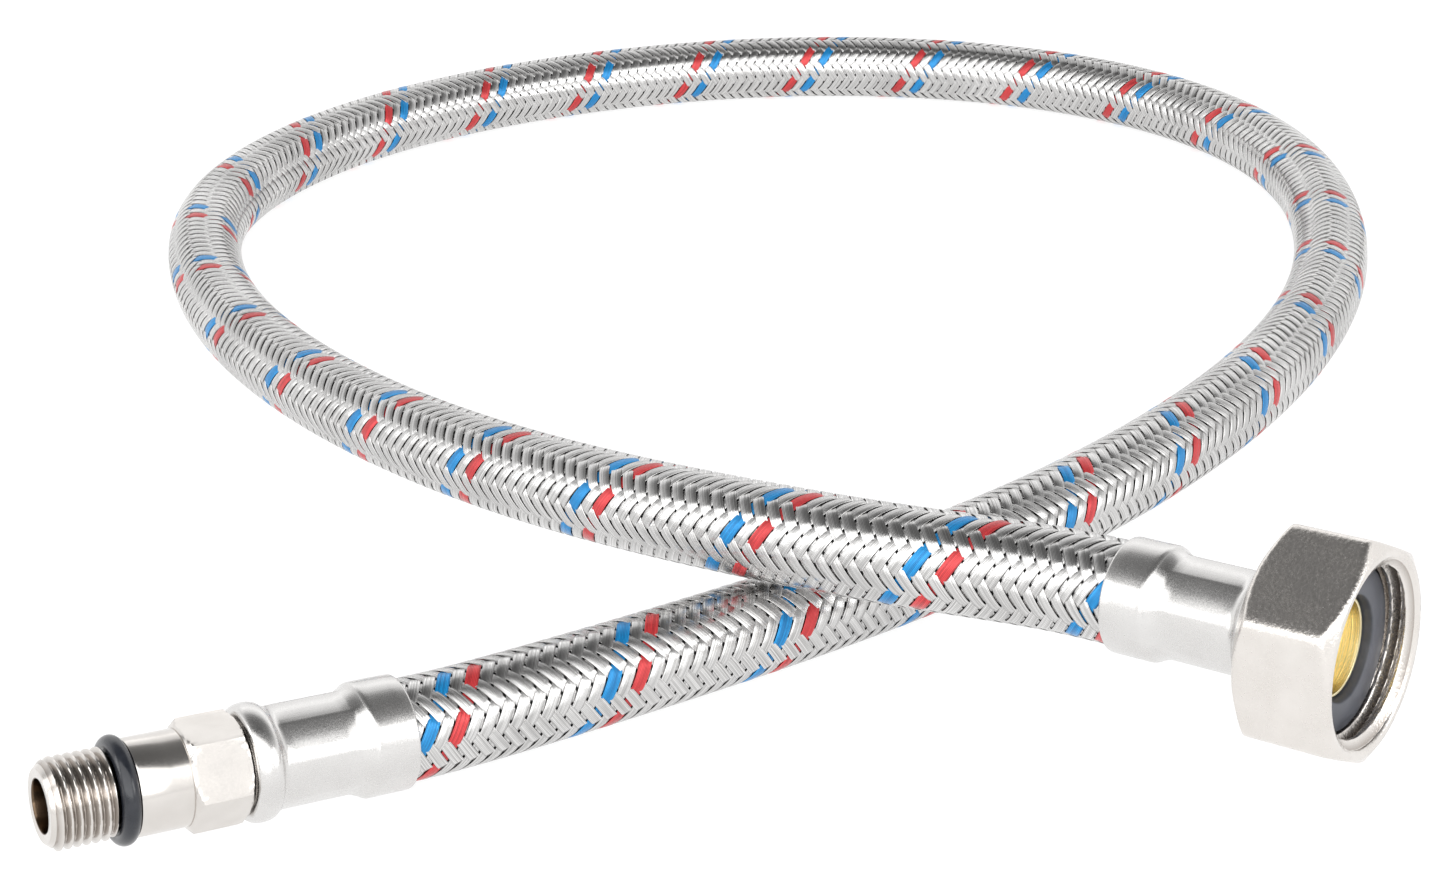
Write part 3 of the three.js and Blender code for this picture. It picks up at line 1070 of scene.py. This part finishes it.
@dataclass
class SwivelUnion:
    """Brass insert with a free nut and a flat washer, in the fitting's own millimetres."""

    fitting: Fitting
    hexagon: Hexagon = Hexagon(
        23.0, 29.5, 30.0, back=EndCone(18.25, 10.9, 1.5, 0.14), front=EndCone(29.4, 11.25, 1.7, 0.18),
    )
    shoulder: float = 21.7
    crest: float = 9.35
    root: float = 10.35
    pitch: float = 1.814
    thread_start: float = 26.3
    thread_rings: int = 44
    lead_in: float = 0.6
    lead_radius: float = 9.75
    lead_widening: float = 1.5
    segments: int = 240

    def build(self, body: str, nut_body: str) -> None:
        """Model the insert, the nut and the washer.

        Args:
            body: the body that the insert rides on.
            nut_body: the body that the nut and the washer ride on.
        """
        self._insert(body)
        self._nut(nut_body)
        self._washer(nut_body)

    def _insert(self, body: str) -> None:
        """Model the flanged brass insert with its stepped bore.

        Args:
            body: the body that it rides on.
        """
        outline = [
            *barbed_stem(), (STEM_RADIUS, 18.95), (5.9, 19.0), (6.1, 19.2), (6.1, 22.0),
            (8.8, 22.0), (8.9, 22.1), (8.9, 24.4), (8.8, 24.5), (5.6, 24.5), (5.55, 24.6),
            (5.55, 25.25), (5.5, 25.3), (5.4, 25.3), (5.25, 25.22), (5.2, 25.0), (5.2, 22.5),
            (5.2, 20.9), (5.0, 20.6), (2.9, 19.6), (2.7, 19.2), (2.7, STEM_START),
        ]
        piece = turned("brass_insert", outline, 96)
        place(piece, self.fitting)
        dress(piece, BRASS.material(self.fitting), "bare_brass", body, "union_insert")

    def _nut(self, body: str) -> None:
        """Model the hexagon nut with its chamfers and inside thread.

        Args:
            body: the body that it rides on.
        """
        back, mouth = self.hexagon.back.height, self.hexagon.front.height
        corner = self.hexagon.flats / math.sqrt(3) + 0.2
        close = [0.0, 0.12, 0.25, 0.4, 0.6, 0.8, 1.0, 1.2, 1.45, 1.7, 2.0, 2.4]
        heights = [back + step for step in (*close, 3.2, 4.4, 5.6, 6.8, 8.0)]
        heights += [mouth - step for step in reversed(close)]
        outer = [(corner, height) for height in heights]
        thread_end = mouth - 0.35
        step = (thread_end - self.thread_start) / self.thread_rings
        thread = [(self.root, thread_end - step * k) for k in range(self.thread_rings + 1)]
        outline = [
            (7.1, self.shoulder), (7.1, back + 0.3), (7.2, back + 0.05), (7.4, back), (9.0, back),
            *outer, (10.75, mouth), (10.55, mouth - 0.1), (10.4, mouth - 0.25), *thread,
            (self.crest, self.thread_start - 0.1), (self.crest, self.shoulder),
        ]
        piece = turned("union_nut_shell", outline, self.segments)
        reshape(piece, self._nut_shape)
        place(piece, self.fitting, 40.0)
        dress(piece, CAST_NICKEL.material(self.fitting), "nickel_plate", body, "union_nut")

    def _nut_shape(self, angle: float, radius: float, height: float) -> float:
        """Cut the hexagon with its end chamfers, and the inside thread.

        Args:
            angle: direction from the axis, in radians.
            radius: the point's radius before.
            height: the point's height.

        Returns:
            Its new radius.
        """
        if radius > self.hexagon.flats / 2:
            return self.hexagon.radius(angle, height)
        if self.root - NEAR < radius < self.root + NEAR:
            wave = helix_wave(-angle, -height, self.pitch)
            cut = self.root - (self.root - self.crest) * wave
            lead_in = self.hexagon.front.height - self.lead_in
            return max(cut, self.lead_radius + (height - lead_in) * self.lead_widening)
        return radius

    def _washer(self, body: str) -> None:
        """Model the flat washer with softened edges.

        Args:
            body: the body that it rides on.
        """
        outline = [
            (5.8, 24.95), (5.85, 24.83), (5.95, 24.8), (8.9, 24.8), (8.98, 24.85), (9.0, 25.0),
            (9.0, 26.2), (8.98, 26.35), (8.9, 26.4), (7.3, 26.42), (6.0, 26.4), (5.88, 26.34),
            (5.82, 26.2), (5.78, 25.6),
        ]
        piece = turned("flat_washer", outline, 120)
        place(piece, self.fitting, 60.0)
        dress(piece, WASHER_RUBBER.material(), "washer_rubber", body, "sealing_washer")


# ---------------------------------------------------------------- studio


@dataclass(frozen=True)
class Panel:
    """Soft rectangular light that shines on a target. Metres and watts."""

    name: str
    at: Point
    target: Point
    size: tuple[float, float]
    power: float

    def hang(self) -> None:
        """Add the light."""
        deselect_all()
        facing = (Vector(self.target) - Vector(self.at)).to_track_quat("-Z", "Y").to_euler()
        bpy.ops.object.light_add(type="AREA", location=self.at, rotation=facing)
        light = bpy.context.object
        light.name = self.name
        light.data.shape = "RECTANGLE"
        light.data.size, light.data.size_y = self.size
        light.data.energy = self.power


@dataclass
class Studio:
    """Pale floor, soft lights and the camera. Metres and degrees."""

    camera_at: Point = (-0.00859, -0.338735, 0.15884)
    camera_pitch: float = -26.95
    lens: float = 59.4
    sensor: float = 36.0
    floor_size: float = 6.0
    floor_grey: float = 0.25
    floor_glow: float = 0.83
    room_strength: float = 1.22
    room_levels: tuple[tuple[float, float], ...] = (
        (0.0, 0.88), (0.15, 1.0), (0.36, 0.95), (0.56, 0.5), (0.78, 0.18), (1.0, 0.1),
    )
    panels: tuple[Panel, ...] = (
        Panel("key_panel", (-0.05, -0.6, 0.52), (0.0, 0.0, 0.0), (1.4, 0.85), 8.0),
        Panel("back_panel", (0.0, 0.62, 0.4), (0.0, 0.62, 0.0), (1.2, 0.7), 1.35),
        Panel("left_panel", (-0.8, -0.25, 0.3), (-0.1, 0.0, 0.0), (0.3, 0.5), 1.2),
        Panel("right_panel", (0.75, -0.38, 0.37), (-0.05, -0.12, 0.0), (0.3, 0.4), 1.4),
    )

    def build(self) -> None:
        """Set up the camera, floor, room and lights."""
        self._camera()
        self._floor()
        self._room()
        for panel in self.panels:
            panel.hang()

    def _camera(self) -> None:
        """Place the camera, tilted down and facing +Y."""
        deselect_all()
        turn = (math.radians(90 + self.camera_pitch), 0.0, 0.0)
        bpy.ops.object.camera_add(location=self.camera_at, rotation=turn)
        camera = bpy.context.object
        camera.data.lens = self.lens
        camera.data.sensor_width = self.sensor
        camera.data.clip_start = 0.01
        bpy.context.scene.camera = camera

    def _floor(self) -> None:
        """Lay a white floor that stays white right to its edge."""
        deselect_all()
        bpy.ops.mesh.primitive_plane_add(size=self.floor_size, location=(0.0, 0.0, 0.0))
        floor = bpy.context.object
        floor.name = "studio_floor"
        white = Shader("studio_white").finish(
            Base_Color=grey(self.floor_grey), Roughness=0.9,
            Emission_Color=grey(1.0), Emission_Strength=self.floor_glow,
        )
        floor.data.materials.append(white)

    def _room(self) -> None:
        """Light everything from a white room that darkens overhead, level by level upward."""
        world = bpy.data.worlds.new("studio_room")
        bpy.context.scene.world = world
        world.use_nodes = True
        nodes, links = world.node_tree.nodes, world.node_tree.links
        where = nodes.new("ShaderNodeTexCoord")
        split = nodes.new("ShaderNodeSeparateXYZ")
        ramp = nodes.new("ShaderNodeValToRGB")
        links.new(where.outputs["Generated"], split.inputs[0])
        links.new(split.outputs["Z"], ramp.inputs[0])
        elements = ramp.color_ramp.elements
        for k, (at, level) in enumerate(self.room_levels):
            stop = elements[k] if k < 2 else elements.new(at)
            stop.position = at
            stop.color = grey(level)
        links.new(ramp.outputs[0], nodes["Background"].inputs["Color"])
        nodes["Background"].inputs["Strength"].default_value = self.room_strength


# ---------------------------------------------------------------- making it


def main() -> None:
    """Build the camera, the hose, the fittings and the studio."""
    logging.basicConfig(level=logging.INFO, format="%(name)s %(message)s")
    bpy.context.scene.view_settings.view_transform = "Standard"
    Studio().build()
    BraidedHose(HoseRoute()).build()
    Ferrule("tail_ferrule", "male_ferrule", MALE_END).build("hose")
    Ferrule("nut_ferrule", "female_ferrule", FEMALE_END).build("hose")
    ThreadedTail(MALE_END).build("hose")
    SwivelUnion(FEMALE_END).build("hose", "nut")


if __name__ == "__main__":
    main()
